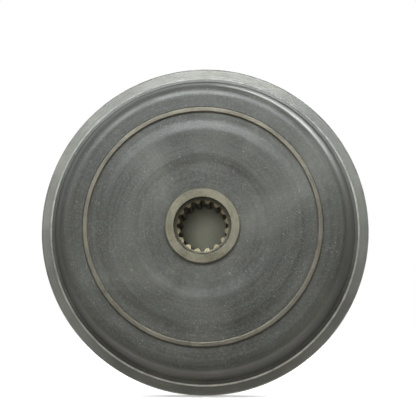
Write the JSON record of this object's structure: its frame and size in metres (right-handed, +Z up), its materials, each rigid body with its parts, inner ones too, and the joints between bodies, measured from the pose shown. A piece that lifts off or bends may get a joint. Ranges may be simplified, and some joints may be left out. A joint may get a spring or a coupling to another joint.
{
  "type": "damped flywheel",
  "caption": "Dark round flywheel with a stepped rim, a closed raised housing, a bare metal ring, a splined hub sprung inside it, and studs in its rear face.",
  "frame": {"origin": "on the wheel's axis, at the rear mounting face that meets the crankshaft flange", "axes": "+Y backwards along the axis, towards the engine; -Y forwards through the hub; +Z up"},
  "size_m": [0.3, 0.0935, 0.3],
  "materials": {
    "casting": "dark oiled casting, machined on the rim and the rear pad",
    "dark_sheet": "thin satin black coating with pale dust",
    "machined_hub": "turned steel, slightly tarnished",
    "bare_ring": "dull bare metal",
    "hardened_steel": "ground, oiled",
    "spring_steel": "shot-peened, oiled",
    "zinc_plate": "bright zinc with a blue-green passivate",
    "bronze": "sintered bronze",
    "nylon": "natural glass-filled nylon"
  },
  "bodies": {
    "primary": {"primary_mass": "casting", "front_cover": "dark_sheet", "seal_ring": "bare_ring", "friction_ring": "nylon", "diaphragm_spring": "spring_steel", "thrust_washer": "bronze", "support_bush": "bronze", "closing_cap": "zinc_plate", "spring_1": "spring_steel", "spring_2": "spring_steel", "spring_3": "spring_steel", "spring_4": "spring_steel", "spring_5": "spring_steel", "spring_6": "spring_steel", "slide_shoe_1": "nylon", "slide_shoe_2": "nylon", "slide_shoe_3": "nylon", "slide_shoe_4": "nylon", "slide_shoe_5": "nylon", "slide_shoe_6": "nylon", "stop_block_1": "hardened_steel", "stop_block_2": "hardened_steel", "stop_block_3": "hardened_steel", "stop_block_4": "hardened_steel", "stop_block_5": "hardened_steel", "stop_block_6": "hardened_steel", "stud_1": "zinc_plate", "stud_2": "zinc_plate", "stud_3": "zinc_plate", "stud_4": "zinc_plate", "stud_5": "zinc_plate", "stud_6": "zinc_plate", "dowel_pin_1": "hardened_steel", "dowel_pin_2": "hardened_steel", "grease_plug_1": "hardened_steel", "grease_plug_2": "hardened_steel"},
    "hub": {"hub_sleeve": "machined_hub", "web_plate": "dark_sheet", "drive_flange": "hardened_steel", "rivet_1": "hardened_steel", "rivet_2": "hardened_steel", "rivet_3": "hardened_steel", "rivet_4": "hardened_steel", "rivet_5": "hardened_steel", "rivet_6": "hardened_steel"}
  },
  "joints": [
    {"name": "hub_windup", "type": "hinge", "parent": "primary", "child": "hub", "pos_m": [0, 0, 0], "axis": [0, -1, 0], "range_deg": [-22, 22], "stiffness_Nm_per_rad": 1200, "deforming": ["spring_1", "spring_2", "spring_3", "spring_4", "spring_5", "spring_6"]}
  ]
}
